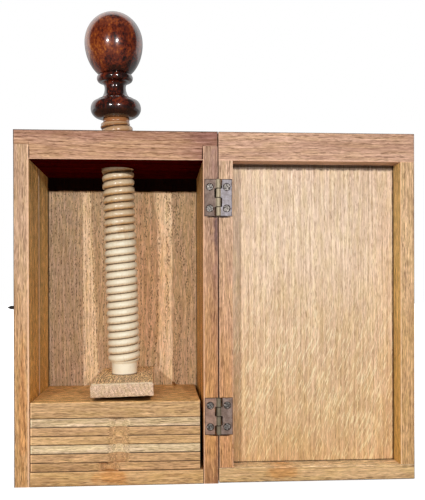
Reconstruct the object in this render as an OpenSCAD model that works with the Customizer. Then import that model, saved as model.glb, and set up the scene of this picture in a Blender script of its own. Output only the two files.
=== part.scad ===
// Table press for playing cards: an oak case with a framed door on two brass butt hinges,
// a wooden screw with a turned knob, a foot block that rides on the screw, and loose boards.
// Millimetres. X runs right, Y runs back and Z runs up from the centre of the case's base.
// The door is drawn open, swung half a turn, with its inside facing the front.

/* [Case] */
// Clear width between the sides
inner_w = 95.2; // [80:0.1:120]
// Clear depth from the front edges to the back panel
inner_d = 69.8; // [62:0.1:90]
// Height of the case
case_h = 195; // [170:1:230]
// Thickness of each side
side_t = 8.2; // [8:0.1:12]
// Thickness of the top board
top_t = 15.9; // [12:0.1:22]
// Thickness of the part of the top board that runs over the sides
top_lap_t = 7.9; // [5:0.1:10]
// Thickness of the bottom board
bottom_t = 7.8; // [6:0.1:12]
// Thickness of the back panel
back_t = 5; // [4:0.1:8]
// Depth of the rebate that takes the back panel in each side
back_rebate = 4; // [2:0.1:6]
// Depth of the front stave of each side
stave_front_d = 33.5; // [25:0.1:45]
// Bevel along the inner corner where the two staves of a side meet
stave_bevel = 0.7; // [0.2:0.1:1.5]

/* [Catch stud] */
// Diameter of the iron stud on the left side
stud_d = 1.9; // [1.2:0.1:3]
// How far the stud stands out of the side
stud_out = 4.1; // [2:0.1:8]
// Length of the stud's pointed end
stud_tip = 1.7; // [0.5:0.1:2]
// How deep the stud is driven into the side
stud_in = 6; // [4:0.1:7]
// Distance of the stud behind the front edge
stud_back = 5; // [3:0.1:12]
// Height of the stud above the base
stud_z = 98; // [60:1:140]

/* [Boards] */
// Number of thin divider boards
divider_count = 6; // [2:1:8]
// Thickness of a divider board
divider_t = 4.75; // [3:0.05:6]
// Thickness of the pressing board on top of the dividers
pressing_t = 9; // [6:0.1:14]
// Clearance under each loose board
board_gap = 0.1; // [0.05:0.05:0.4]
// Clearance between the boards and the left side
board_left_gap = 0.5; // [0.3:0.1:2]
// Clearance between the boards and the right side
board_right_gap = 1.9; // [0.3:0.1:3]
// Clearance between the boards and the back panel
board_back_gap = 0.5; // [0.3:0.1:2]
// Least distance of a board's front edge behind the front of the case
board_setback = 0.2; // [0.1:0.1:1]
// How unevenly the boards' front edges lie
board_stagger = 0.7; // [0:0.1:2]
// Width of the finger hollow in the front edge of each divider board
finger_w = 14.6; // [10:0.1:25]
// Depth of the finger hollow in the uppermost divider board
finger_depth_top = 2.2; // [1.5:0.1:4]
// Depth of the finger hollow in the lowest divider board, the one that was pulled out most
finger_depth_low = 4.6; // [1.5:0.1:6]
// Middle of the finger hollows, to the right of the case's middle
finger_x = 0.7; // [-10:0.1:10]
// How far the lowest board's finger hollow lies to the left of the others
finger_low_shift = 5.5; // [0:0.1:10]

/* [Door] */
// Thickness of the door frame
door_t = 19; // [16:0.1:24]
// Depth from the inside of the frame to the panel
door_recess = 12.5; // [8:0.1:13]
// Thickness of the door panel
panel_t = 4; // [2.5:0.1:5]
// Width of the two stiles
stile_w = 7.9; // [7.8:0.1:12]
// Height of the top rail
top_rail_h = 15.9; // [10:0.1:22]
// Height of the bottom rail
bottom_rail_h = 8.1; // [6:0.1:12]
// Depth of the groove that holds the panel
panel_groove = 3.5; // [2:0.1:4]
// Gap that the panel's shrinkage leaves at the bottom of the groove
panel_shrink = 0.5; // [0.2:0.1:1]
// How far the closed door stays inside the left face of the case
door_inset = 0.9; // [0:0.1:2]
// Gap under the door
door_floor_gap = 0.4; // [0.3:0.1:2]
// Gap between the case and the edge of the open door
door_open_gap = 0.4; // [0.3:0.1:0.8]
// Gap between the case and the closed door
door_closed_gap = 0.2; // [0.2:0.1:0.4]

/* [Hinges] */
// Height of a hinge
leaf_h = 20.5; // [17:0.1:26]
// Width of a leaf from the pin's axis
leaf_reach = 7.7; // [6.5:0.1:7.7]
// Thickness of a leaf
leaf_t = 1; // [0.9:0.1:1.5]
// Diameter of the knuckles
barrel_d = 2.5; // [2.2:0.1:3]
// Diameter of the pin
pin_d = 1.3; // [1:0.1:1.6]
// Gap between two knuckles
knuckle_gap = 0.15; // [0.1:0.05:0.4]
// Width of the notch in a leaf beside the knuckles of the other leaf
notch_w = 0.95; // [0.3:0.05:1]
// Depth of the room behind the knuckles in the wood
knuckle_room = 2.2; // [1.6:0.1:3]
// Distance from the top of the case to the top of the upper hinge
hinge_upper_drop = 26.3; // [20:0.1:50]
// Distance from the base to the bottom of the lower hinge
hinge_lower_rise = 27.1; // [15:0.1:50]
// Distance between the two screws of a leaf
hinge_screw_spacing = 11.9; // [9:0.1:13]
// Distance from the pin's axis to the screws
hinge_screw_inset = 4.7; // [4:0.1:5.2]
// Diameter of a hinge screw's head
hinge_head_d = 3.5; // [2.6:0.1:3.8]
// Depth of a hinge screw's head below the face of the leaf
hinge_head_sink = 0.3; // [0.1:0.05:0.35]
// Diameter of a hinge screw's shank
hinge_shank_d = 1.8; // [1.4:0.1:2.2]
// Length of a hinge screw
hinge_screw_len = 7; // [5:0.1:12]
// Width of a hinge screw's slot
slot_w = 0.55; // [0.4:0.05:0.8]
// Depth of a hinge screw's slot
slot_depth = 0.45; // [0.2:0.05:0.6]

/* [Press screw] */
// Angle by which the top of the screw leans to the left
lean_side = 1.6; // [0:0.1:3]
// Angle by which the top of the screw leans to the front
lean_front = 2.5; // [0:0.1:3]
// Place of the tapped hole to the right of the centre line
hole_offset = -1.4; // [-5:0.1:5]
// Outer diameter of the thread
thread_d = 19.2; // [16:0.1:24]
// Depth of the thread
thread_depth = 1.45; // [0.8:0.05:1.8]
// Distance from one turn to the next
thread_pitch = 4.48; // [3.5:0.01:6]
// Width of the V groove between two turns
groove_w = 1.6; // [1:0.1:2.4]
// How much the crest falls from its middle to its edges
crest_fall = 0.25; // [0.05:0.05:0.5]
// Radial clearance of the tapped hole
thread_clear = 0.45; // [0.3:0.05:0.7]
// Angle at which the thread starts
thread_start = 61; // [-180:1:180]
// Length over which the thread runs out, in turns
thread_runout = 0.75; // [0.25:0.05:1.5]
// Diameter of the plain end that sits in the foot block
tenon_d = 15.2; // [12:0.1:15.8]
// Height of plain end that shows above the foot block
tenon_show = 5.2; // [3:0.1:12]
// Diameter of the plain shank under the knob
shank_d = 16; // [14:0.1:16.4]
// Length of the plain shank under the knob
shank_len = 2.3; // [1:0.1:8]
// Diameter of the tenon inside the knob
knob_tenon_d = 10; // [7:0.1:12]
// Length of the tenon inside the knob
knob_tenon_len = 14; // [8:0.1:20]

/* [Foot block] */
// Width of the foot block
foot_w = 34.9; // [28:0.1:45]
// How much narrower the foot block is at the back, cut from its left side
foot_taper = 2.8; // [0:0.1:6]
// Length of the foot block along its grain, front to back
foot_d = 60.3; // [36:0.1:62]
// How far the middle of the foot block lies in front of the screw
foot_shift = 6.4; // [0:0.1:7]
// Thickness of the foot block
foot_h = 7.5; // [7.2:0.1:14]
// Height of the block's lowest corner above the pressing board
foot_clear = 1.4; // [0.3:0.1:30]
// Depth of the socket for the screw's plain end
socket_depth = 3.2; // [2.5:0.1:3.6]
// Running clearance of the screw's plain end in the socket
socket_clear = 0.08; // [0.04:0.01:0.1]
// Diameter of the recess under the block for the washer
washer_recess_d = 11; // [9:0.1:14]
// Depth of the recess under the block
washer_recess_depth = 2.5; // [2.2:0.1:3]
// Outer diameter of the washer
washer_d = 9.6; // [7:0.1:10.4]
// Thickness of the washer
washer_t = 0.6; // [0.4:0.1:0.8]
// Diameter of the retaining screw's shank
retainer_d = 3; // [2.4:0.1:4]
// Length of the retaining screw's shank
retainer_len = 14; // [8:0.5:20]
// Diameter of the retaining screw's head
retainer_head_d = 6; // [5:0.1:7]
// Height of the retaining screw's head
retainer_head_h = 1.4; // [1:0.1:1.4]
// End play of the block between the washer and the screw
end_play = 0.1; // [0.05:0.05:0.2]

/* [Knob] */
// Height of the knob above the case
knob_rise = 14.2; // [8:0.1:30]
// Diameter of the knob's underside
knob_base_d = 17.4; // [16.5:0.1:22]
// Largest diameter of the flange
flange_d = 29.7; // [24:0.1:36]
// Height of the flange below its widest part
flange_low_h = 5.7; // [3:0.1:8]
// Height of the flange above its widest part
flange_high_h = 5; // [3:0.1:8]
// Diameter of the shoulder on top of the flange
shoulder_d = 22.6; // [20:0.1:23]
// Width and height of the small step on the shoulder
quirk = 0.7; // [0.3:0.1:1.2]
// Diameter of the neck
neck_d = 12.5; // [12.2:0.1:16]
// Height of the hollow below the neck
lower_cove_h = 6.7; // [4:0.1:10]
// Height of the hollow above the neck
upper_cove_h = 3.1; // [2:0.1:6]
// Diameter of the bead
bead_d = 21.2; // [20:0.1:26]
// Diameter of the bead's flat faces
bead_seat_d = 17.2; // [16.5:0.1:19]
// Height of the bead
bead_h = 4.8; // [3:0.1:7]
// Largest diameter of the egg
egg_d = 34.2; // [28:0.1:44]
// Diameter of the egg where it stands on the bead
egg_seat_d = 18.8; // [16.5:0.1:20]
// Height of the egg below its widest part
egg_low_h = 18.2; // [14:0.1:26]
// Height of the egg above its widest part
egg_high_h = 18; // [14:0.1:26]

/* [Hidden] */
$fn = 64;
thread_steps = 24;
arc_steps = 10;
knuckle_rows = 4;
finger_steps = 28;
over = 1;
drill_clear = 0.08;
leaf_clear = 0.1;
pin_fit = 0.02;
pin_run = 0.06;
head_rim = 0.12;
screw_point = 1.6;
thread_lead = 0.4;
thread_step = 0.15;
knob_fit = 0.03;

oak = "#b98a57";
pale_oak = "#cda878";
boxwood = "#dcc08c";
dark_stain = "#4a1d10";
brass = "#9c8a55";
steel = "#8f8b86";
iron = "#2b2624";

case_w = inner_w + 2 * side_t;
case_d = inner_d + back_t;
left_x = -case_w / 2;
right_x = case_w / 2;
front_y = -case_d / 2;
rear_y = case_d / 2;
back_y = rear_y - back_t;
stave_y = front_y + stave_front_d;
side_h = case_h - top_lap_t;
ceiling_z = case_h - top_t;

// The hinge pin lies half way between the places of the open and the closed door
pin_x = right_x + door_open_gap / 2;
pin_y = front_y - door_closed_gap / 2;
leaf_y = front_y - pin_y;
upper_hinge_z = case_h - hinge_upper_drop - leaf_h;
lower_hinge_z = hinge_lower_rise;
row_h = leaf_h / knuckle_rows;
notch_x = barrel_d / 2 + notch_w;
case_rows = [1, 3];
door_rows = [0, 2];

door_x = right_x + door_open_gap;
door_w = case_w - door_inset;
door_h = case_h - door_floor_gap;
stile_z = door_floor_gap + bottom_rail_h;
stile_h = door_h - top_rail_h - bottom_rail_h;
panel_y = front_y + door_recess;
panel_hold = panel_groove - panel_shrink;

board_w = inner_w - board_left_gap - board_right_gap;
board_x = -inner_w / 2 + board_left_gap;
board_d = inner_d - board_setback - board_stagger - board_back_gap;
divider_step = divider_t + board_gap;
pressing_z = bottom_t + divider_count * divider_step + board_gap;
stack_top = pressing_z + pressing_t;

// Heights along the leaning screw are measured from the middle of the foot block's underside
hole_y = front_y + inner_d / 2;
hole_z = case_h - top_t / 2;
axis_rise = cos(lean_side) * cos(lean_front);
foot_front = foot_d / 2 + foot_shift;
foot_back = foot_d / 2 - foot_shift;
foot_z = stack_top + foot_clear + foot_w / 2 * sin(lean_side) + foot_front * sin(lean_front);
hole_s = (hole_z - foot_z) / axis_rise;
socket_s = foot_h - socket_depth;
tenon_s = socket_s + end_play;
thread_s = foot_h + tenon_show;
knob_s = hole_s + (top_t / 2 + knob_rise) / axis_rise;
shank_s = knob_s - shank_len;
washer_s = washer_recess_depth - end_play - washer_t;

crest_r = thread_d / 2;
root_r = crest_r - thread_depth;
shoulder_r = crest_r - crest_fall;
tenon_r = tenon_d / 2;
shank_r = shank_d / 2;
screw_profile = [
    [0, root_r],
    [groove_w / 2, shoulder_r],
    [thread_pitch / 2, crest_r],
    [thread_pitch - groove_w / 2, shoulder_r]
];
tapped_groove = groove_w / 2 - thread_clear / 2;
tapped_profile = [
    [0, root_r + thread_clear],
    [tapped_groove, shoulder_r + thread_clear],
    [thread_pitch / 2, crest_r + thread_clear],
    [thread_pitch - tapped_groove, shoulder_r + thread_clear]
];

// Shapes that several pieces share

module box_at(corner, size) translate(corner) cube(size);

// Puts its children in the screw's own frame, with Z along the leaning axis
module on_screw_axis()
    translate([hole_offset, hole_y, hole_z])
        rotate([lean_front, -lean_side, 0])
            translate([0, 0, -hole_s])
                children();

// Puts its children at the pin of a hinge, at the hinge's lower end
module at_hinge(z) translate([pin_x, pin_y, z]) children();

// Repeats its children at the two screws of a leaf, with Z pointing into the wood
module at_leaf_screws(side)
    for (end = [-1, 1])
        translate([side * hinge_screw_inset, leaf_y, leaf_h / 2 + end * hinge_screw_spacing / 2])
            rotate([-90, 0, 0])
                children();

// Profile of a countersunk screw below the face of the leaf, widened by a clearance
function screw_outline(clear) =
    let (r = hinge_shank_d / 2 + clear, head = hinge_head_d / 2 + clear, top = hinge_head_sink)
    [
        [0, top], [head, top], [head, top + head_rim], [r, top + head_rim + head - r],
        [r, hinge_screw_len - screw_point], [0, hinge_screw_len + clear]
    ];

// The hole of a screw, open above the head to the full width of the countersink
module screw_hole() {
    wide = hinge_head_d / 2 + drill_clear + hinge_head_sink;
    outline = screw_outline(drill_clear);
    rotate_extrude()
        polygon(concat(
            [[0, -over], [wide, -over], [wide, 0]],
            [for (i = [1:len(outline) - 1]) outline[i]]
        ));
}

// One slotted screw, its slot turned by an angle
module hinge_screw(turn)
    difference() {
        rotate_extrude() polygon(screw_outline(0));
        rotate([0, 0, turn])
            translate([-hinge_head_d, -slot_w / 2, -over])
                cube([2 * hinge_head_d, slot_w, over + hinge_head_sink + slot_depth]);
    }

// One leaf of a hinge: a plate that reaches to one side of the pin, with its own knuckles
module hinge_leaf(side, own_rows, other_rows, bore_clear)
    difference() {
        union() {
            difference() {
                translate([side > 0 ? 0 : -leaf_reach, leaf_y, 0]) cube([leaf_reach, leaf_t, leaf_h]);
                for (row = other_rows)
                    translate([-notch_x, -over, row * row_h]) cube([2 * notch_x, leaf_t + 2 * over, row_h]);
            }
            for (row = own_rows)
                translate([0, 0, row * row_h + knuckle_gap / 2])
                    cylinder(h = row_h - knuckle_gap, d = barrel_d);
        }
        translate([0, 0, -over]) cylinder(h = leaf_h + 2 * over, d = pin_d + 2 * bore_clear);
        at_leaf_screws(side) screw_hole();
    }

// What a leaf needs cut from the wood: its bed, room for the knuckles and the screw holes
module hinge_bed(side)
    union() {
        translate([side > 0 ? 0 : -leaf_reach - leaf_clear, leaf_y - over, -leaf_clear])
            cube([leaf_reach + leaf_clear, leaf_t + over, leaf_h + 2 * leaf_clear]);
        translate([-notch_x, leaf_y - over, -leaf_clear])
            cube([2 * notch_x, over + knuckle_room, leaf_h + 2 * leaf_clear]);
        at_leaf_screws(side) screw_hole();
    }

module hinge_pin() translate([0, 0, knuckle_gap / 2]) cylinder(h = leaf_h - knuckle_gap, d = pin_d);

// A body with a helical thread between two flat ends. Each row of points stands one step
// further round the helix; a profile point is [height within one turn, radius]. The thread
// runs out towards the radius of each end over a number of turns.
module thread_body(s0, s1, profile, r0, r1, runout) {
    n = thread_steps;
    sides = len(profile);
    first = s0 + thread_lead;
    rows = floor((s1 - thread_lead - first - thread_pitch) / thread_pitch * n);
    last = rows + n;
    function angle(i) = thread_start + 360 * i / n;
    function ring(i, r, z) = [r * cos(angle(i)), r * sin(angle(i)), z];
    function swell(t) = runout == 0 ? 1 : min(1, t / (n * runout), (last - t) / (n * runout));
    function end_r(t) = (t < last / 2 ? r0 : r1) + thread_lead / 2;
    function spot(i, k) =
        let (u = profile[k][0], t = i + n * u / thread_pitch)
        ring(i, end_r(t) + (profile[k][1] - end_r(t)) * swell(t), first + thread_pitch * i / n + u);
    points = concat(
        [for (i = [0:rows], k = [0:sides - 1]) spot(i, k)],
        [for (i = [rows + 1:last]) spot(i, 0)],
        [for (i = [0:n - 1]) ring(i, r0, s0)],
        [for (i = [0:n - 1]) ring(i, r1, s1)]
    );
    low = (rows + 1) * sides + n;
    high = low + n;
    function at(i, k) =
        k == sides ? at(i + n, 0) : i <= rows ? i * sides + k : (rows + 1) * sides + i - rows - 1;
    function low_at(i) = low + i % n;
    function high_at(i) = high + i % n;
    flanks = [
        for (i = [0:rows - 1], k = [0:sides - 1], half = [0, 1])
            half == 0
                ? [at(i, k), at(i, k + 1), at(i + 1, k + 1)]
                : [at(i, k), at(i + 1, k + 1), at(i + 1, k)]
    ];
    foot_band = [
        for (i = [0:n - 1], half = [0, 1])
            half == 0
                ? [low_at(i), at(i, 0), at(i + 1, 0)]
                : [low_at(i), at(i + 1, 0), low_at(i + 1)]
    ];
    head_band = [
        for (i = [rows:last - 1], half = [0, 1])
            half == 0
                ? [at(i, 0), high_at(i), high_at(i + 1)]
                : [at(i, 0), high_at(i + 1), at(i + 1, 0)]
    ];
    start_face = concat([low_at(0)], [for (k = [sides:-1:0]) at(0, k)]);
    end_face = concat([for (k = [0:sides]) at(rows, k)], [high_at(rows)]);
    low_cap = [for (i = [0:n - 1]) low + i];
    high_cap = [for (i = [n - 1:-1:0]) high + i];
    polyhedron(
        points = points,
        faces = concat(flanks, foot_band, head_band, [start_face, end_face, low_cap, high_cap])
    );
}

// Case

module top_board() color(oak)
    difference() {
        union() {
            box_at([left_x, front_y, side_h], [case_w, case_d, top_lap_t]);
            box_at([-inner_w / 2, front_y, ceiling_z], [inner_w, inner_d, top_t - top_lap_t]);
        }
        on_screw_axis() tapped_hole();
    }

// The tapped hole stays in step with the screw: it starts a whole number of turns above it
module tapped_hole() {
    reach = top_t / 2 / axis_rise + crest_r * (sin(lean_side) + sin(lean_front)) + over;
    turns_below = floor((hole_s - reach - thread_s) / thread_pitch) - 1;
    bottom = thread_s + turns_below * thread_pitch;
    top = hole_s + reach + 2 * thread_pitch;
    thread_body(bottom, top, tapped_profile, root_r, root_r, 0);
}

module bottom_board() color(oak) box_at([-inner_w / 2, front_y, 0], [inner_w, inner_d, bottom_t]);

// A front stave on the right side; its inner rear corner is bevelled
module front_stave()
    difference() {
        box_at([inner_w / 2, front_y, 0], [side_t, stave_front_d, side_h]);
        translate([inner_w / 2, stave_y, -over])
            rotate([0, 0, 45])
                cube([stave_bevel * sqrt(2), stave_bevel * sqrt(2), 2 * (side_h + over)], center = true);
    }

// A rear stave on the right side, rebated for the back panel
module rear_stave()
    difference() {
        box_at([inner_w / 2, stave_y, 0], [side_t, rear_y - stave_y, side_h]);
        box_at([inner_w / 2 - over, back_y, -over], [back_rebate + over, back_t + over, side_h + 2 * over]);
    }

module left_side_front() color(oak)
    difference() {
        mirror([1, 0, 0]) front_stave();
        translate([left_x - over, front_y + stud_back, stud_z])
            rotate([0, 90, 0])
                cylinder(h = over + stud_in + drill_clear, d = stud_d + 2 * drill_clear);
    }

module left_side_rear() color(oak) mirror([1, 0, 0]) rear_stave();

module right_side_front() color(oak)
    difference() {
        front_stave();
        for (z = [upper_hinge_z, lower_hinge_z]) at_hinge(z) hinge_bed(-1);
    }

module right_side_rear() color(oak) rear_stave();

module back_panel() color(oak)
    box_at([-inner_w / 2 - back_rebate, back_y, 0], [inner_w + 2 * back_rebate, back_t, side_h]);

module catch_stud() color(iron)
    translate([left_x - stud_out, front_y + stud_back, stud_z])
        rotate([0, 90, 0])
            rotate_extrude()
                polygon([
                    [0, 0], [stud_d / 8, 0], [stud_d / 2, stud_tip],
                    [stud_d / 2, stud_out + stud_in], [0, stud_out + stud_in]
                ]);

// Hinges

module upper_hinge_case_leaf() color(brass)
    at_hinge(upper_hinge_z) hinge_leaf(-1, case_rows, door_rows, pin_fit);

module lower_hinge_case_leaf() color(brass)
    at_hinge(lower_hinge_z) hinge_leaf(-1, case_rows, door_rows, pin_fit);

module upper_hinge_door_leaf() color(brass)
    at_hinge(upper_hinge_z) hinge_leaf(1, door_rows, case_rows, pin_run);

module lower_hinge_door_leaf() color(brass)
    at_hinge(lower_hinge_z) hinge_leaf(1, door_rows, case_rows, pin_run);

module upper_hinge_pin() color(brass) at_hinge(upper_hinge_z) hinge_pin();

module lower_hinge_pin() color(brass) at_hinge(lower_hinge_z) hinge_pin();

module case_hinge_screws() color(steel) {
    at_hinge(upper_hinge_z) at_leaf_screws(-1) hinge_screw(62);
    at_hinge(lower_hinge_z) at_leaf_screws(-1) hinge_screw(-35);
}

module door_hinge_screws() color(steel) {
    at_hinge(upper_hinge_z) at_leaf_screws(1) hinge_screw(15);
    at_hinge(lower_hinge_z) at_leaf_screws(1) hinge_screw(48);
}

// Door

// The panel, made larger all round by a margin
module panel_blank(margin)
    box_at(
        [door_x + stile_w - margin, panel_y, stile_z - margin],
        [door_w - 2 * stile_w + 2 * margin, panel_t, stile_h + 2 * margin]
    );

module door_panel() color(pale_oak) panel_blank(panel_hold);

module door_top_rail() color(oak)
    difference() {
        box_at([door_x, front_y, stile_z + stile_h], [door_w, door_t, top_rail_h]);
        panel_blank(panel_groove);
    }

module door_bottom_rail() color(oak)
    difference() {
        box_at([door_x, front_y, door_floor_gap], [door_w, door_t, bottom_rail_h]);
        panel_blank(panel_groove);
    }

module stile(x)
    difference() {
        box_at([x, front_y, stile_z], [stile_w, door_t, stile_h]);
        panel_blank(panel_groove);
    }

module door_hinge_stile() color(oak)
    difference() {
        stile(door_x);
        for (z = [upper_hinge_z, lower_hinge_z]) at_hinge(z) hinge_bed(1);
    }

module door_closing_stile() color(oak) stile(door_x + door_w - stile_w);

// Screw, knob and foot

module foot_outline()
    polygon([
        [-foot_w / 2, -foot_front], [foot_w / 2, -foot_front],
        [foot_w / 2, foot_back], [-foot_w / 2 + foot_taper, foot_back]
    ]);

module foot_block() color(pale_oak)
    on_screw_axis() difference() {
        linear_extrude(foot_h) foot_outline();
        translate([0, 0, socket_s]) cylinder(h = socket_depth + over, r = tenon_r + socket_clear);
        translate([0, 0, -over]) cylinder(h = foot_h, d = retainer_d + 2 * socket_clear);
        translate([0, 0, -over]) cylinder(h = washer_recess_depth + over, d = washer_recess_d);
    }

module press_screw() color(boxwood)
    on_screw_axis() difference() {
        union() {
            translate([0, 0, tenon_s]) cylinder(h = thread_s - tenon_s + over, r = tenon_r);
            thread_body(
                thread_s, shank_s, screw_profile,
                tenon_r + thread_step, shank_r + thread_step, thread_runout
            );
            translate([0, 0, shank_s - over]) cylinder(h = shank_len + over, r = shank_r);
            translate([0, 0, knob_s - over]) cylinder(h = knob_tenon_len + over, d = knob_tenon_d);
        }
        retainer_hole();
    }

// Pilot hole in the plain end of the screw
module retainer_hole() {
    tip = washer_s + retainer_len + drill_clear;
    translate([0, 0, tenon_s - over])
        cylinder(h = tip - tenon_s + over, d = retainer_d + 2 * drill_clear);
}

module foot_washer() color(steel)
    on_screw_axis() translate([0, 0, washer_s])
        difference() {
            cylinder(h = washer_t, d = washer_d);
            translate([0, 0, -over]) cylinder(h = washer_t + 2 * over, d = retainer_d + 2 * drill_clear);
        }

module foot_retaining_screw() color(steel)
    on_screw_axis() difference() {
        union() {
            translate([0, 0, washer_s - retainer_head_h]) cylinder(h = retainer_head_h, d = retainer_head_d);
            translate([0, 0, washer_s - over / 2]) cylinder(h = retainer_len + over / 2, d = retainer_d);
        }
        translate([-retainer_head_d, -slot_w / 2, washer_s - retainer_head_h - over])
            cube([2 * retainer_head_d, slot_w, over + slot_depth]);
    }

// Part of an ellipse as points, from angle a0 to angle a1
function arc(centre, rx, rz, a0, a1) = [
    for (i = [0:arc_steps])
        let (a = a0 + (a1 - a0) * i / arc_steps)
        [centre[0] + rx * cos(a), centre[1] + rz * sin(a)]
];

// Half outline of the knob, from the middle of its underside up to the tip of the egg
function knob_outline() =
    let (
        flange_z = flange_low_h,
        shoulder_z = flange_z + flange_high_h,
        neck_z = shoulder_z + quirk + lower_cove_h,
        bead_z = neck_z + upper_cove_h + bead_h / 2,
        egg_z = bead_z + bead_h / 2 + egg_low_h,
        quirk_r = shoulder_d / 2 - quirk,
        seat_r = bead_seat_d / 2,
        neck_r = neck_d / 2,
        egg_r = egg_d / 2,
        seat_angle = acos(egg_seat_d / egg_d)
    )
    concat(
        [[0, 0]],
        arc([knob_base_d / 2, flange_z], (flange_d - knob_base_d) / 2, flange_low_h, -90, 0),
        arc([shoulder_d / 2, flange_z], (flange_d - shoulder_d) / 2, flange_high_h, 9, 90),
        [[quirk_r, shoulder_z]],
        arc([quirk_r, neck_z], quirk_r - neck_r, lower_cove_h, 270, 180),
        arc([seat_r, neck_z], seat_r - neck_r, upper_cove_h, 171, 90),
        arc([seat_r, bead_z], (bead_d - bead_seat_d) / 2, bead_h / 2, -80, 90),
        arc([0, egg_z], egg_r, egg_low_h / sin(seat_angle), -seat_angle, 0),
        arc([0, egg_z], egg_r, egg_high_h, 9, 90)
    );

module knob() color(dark_stain)
    on_screw_axis() translate([0, 0, knob_s])
        difference() {
            rotate_extrude() polygon(knob_outline());
            translate([0, 0, -over])
                cylinder(h = over + knob_tenon_len + drill_clear, d = knob_tenon_d + 2 * knob_fit);
        }

// Loose boards

// How far the front edge of board number i lies behind the front of the case
function setback(i) = board_setback + board_stagger * (1 + sin(140 * i)) / 2;

module loose_board(i, z, t) box_at([board_x, front_y + setback(i), z], [board_w, board_d, t]);

// Depth of the finger hollow of divider board i, counted from the lowest
function finger_depth(i) =
    finger_depth_low + (finger_depth_top - finger_depth_low) * (i - 1) / (divider_count - 1);

// Outline of the finger hollow of board i, one smooth wave behind the front edge
function finger_outline(i) = concat(
    [[-finger_w / 2, -over]],
    [
        for (k = [0:finger_steps])
            [(k / finger_steps - 0.5) * finger_w, finger_depth(i) * (1 - cos(360 * k / finger_steps)) / 2]
    ],
    [[finger_w / 2, -over]]
);

module divider_board(i) color(pale_oak) {
    z = bottom_t + (i - 1) * divider_step + board_gap;
    difference() {
        loose_board(i, z, divider_t);
        translate([
            finger_x - (i == 1 ? finger_low_shift : 0),
            front_y + setback(i),
            z - over
        ])
            linear_extrude(divider_t + 2 * over) polygon(finger_outline(i));
    }
}

module pressing_board() color(oak) loose_board(divider_count + 1, pressing_z, pressing_t);

top_board();
bottom_board();
left_side_front();
left_side_rear();
right_side_front();
right_side_rear();
back_panel();
catch_stud();
upper_hinge_case_leaf();
lower_hinge_case_leaf();
upper_hinge_pin();
lower_hinge_pin();
case_hinge_screws();
door_top_rail();
door_bottom_rail();
door_hinge_stile();
door_closing_stile();
door_panel();
upper_hinge_door_leaf();
lower_hinge_door_leaf();
door_hinge_screws();
foot_block();
press_screw();
knob();
foot_washer();
foot_retaining_screw();
pressing_board();
for (i = [1:divider_count])
    divider_board(i);
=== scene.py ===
# %% [markdown]
# # A playing card press in oak, boxwood and brass
# The press is an oak case with a framed door. A wooden screw in the top board pushes a foot block
# down on a stack of loose boards, and packs of cards lie between the boards to be kept flat.
# The shapes come from the CAD model; this lesson gives them their camera, light and finishes.

# %% Load the CAD frame
import math

import bpy
from mathutils import Matrix, Vector, noise


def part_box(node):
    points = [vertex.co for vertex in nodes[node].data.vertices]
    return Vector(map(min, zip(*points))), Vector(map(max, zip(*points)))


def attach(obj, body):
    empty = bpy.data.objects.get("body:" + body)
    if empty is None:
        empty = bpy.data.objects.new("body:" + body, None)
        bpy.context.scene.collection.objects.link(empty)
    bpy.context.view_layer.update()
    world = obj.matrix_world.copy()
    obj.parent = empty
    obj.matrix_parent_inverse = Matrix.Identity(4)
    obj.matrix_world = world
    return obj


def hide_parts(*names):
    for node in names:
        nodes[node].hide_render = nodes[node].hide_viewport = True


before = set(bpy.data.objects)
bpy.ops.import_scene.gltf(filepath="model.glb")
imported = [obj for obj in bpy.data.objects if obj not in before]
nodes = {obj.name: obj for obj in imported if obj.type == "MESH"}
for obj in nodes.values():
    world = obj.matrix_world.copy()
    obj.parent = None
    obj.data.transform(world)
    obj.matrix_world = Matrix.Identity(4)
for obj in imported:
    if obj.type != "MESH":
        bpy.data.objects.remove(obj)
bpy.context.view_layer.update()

MM = 0.001

# %% [markdown]
# ## Camera
# The picture was taken from close by, a little to the right of the case and at half its height.
# A short distance makes the near edges look larger, so the distance is as important as the angle.
# The frame was cropped off centre, and the camera's shift does the same without turning it.
# The values were fitted to the corners of case and door, with the depth that the CAD model chose.

# %% Place the camera
IMAGE_W, IMAGE_H = 425, 500
FOCAL_PX = 720.33
PRINCIPAL_PX = (208.0, 289.12)
EYE = Vector((23.48, -435.16, 109.08)) * MM
YAW, PITCH, ROLL = (math.radians(a) for a in (3.839, -0.181, -0.149))

forward = Vector((math.sin(YAW) * math.cos(PITCH), math.cos(YAW) * math.cos(PITCH), math.sin(PITCH)))
level = forward.cross((0, 0, 1)).normalized()
upright = level.cross(forward)
right = math.cos(ROLL) * level + math.sin(ROLL) * upright
up = math.cos(ROLL) * upright - math.sin(ROLL) * level

lens = bpy.data.cameras.new("press_camera")
long_side = max(IMAGE_W, IMAGE_H)
lens.lens = FOCAL_PX / long_side * lens.sensor_width
lens.shift_x = (IMAGE_W / 2 - PRINCIPAL_PX[0]) / long_side
lens.shift_y = (PRINCIPAL_PX[1] - IMAGE_H / 2) / long_side
lens.clip_start = 0.01
camera = bpy.data.objects.new("press_camera", lens)
camera.matrix_world = Matrix.Translation(EYE) @ Matrix((right, up, -forward)).transposed().to_4x4()
scene = bpy.context.scene
scene.collection.objects.link(camera)
scene.camera = camera
scene.view_settings.view_transform = "Standard"
print(f"camera: lens {lens.lens:.2f} mm, shift {lens.shift_x:.4f}, {lens.shift_y:.4f}")

# %% [markdown]
# ## Shader arithmetic
# A finish is a small sum: this streak plus that pore, less where a hand has rubbed. Wiring Math
# nodes one by one hides the sum, so one class wraps a socket and lets Python write it out.
# Colours and vectors go through Mix and Vector Math nodes, which keep all three channels.

# %% Wrap sockets for arithmetic


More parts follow.
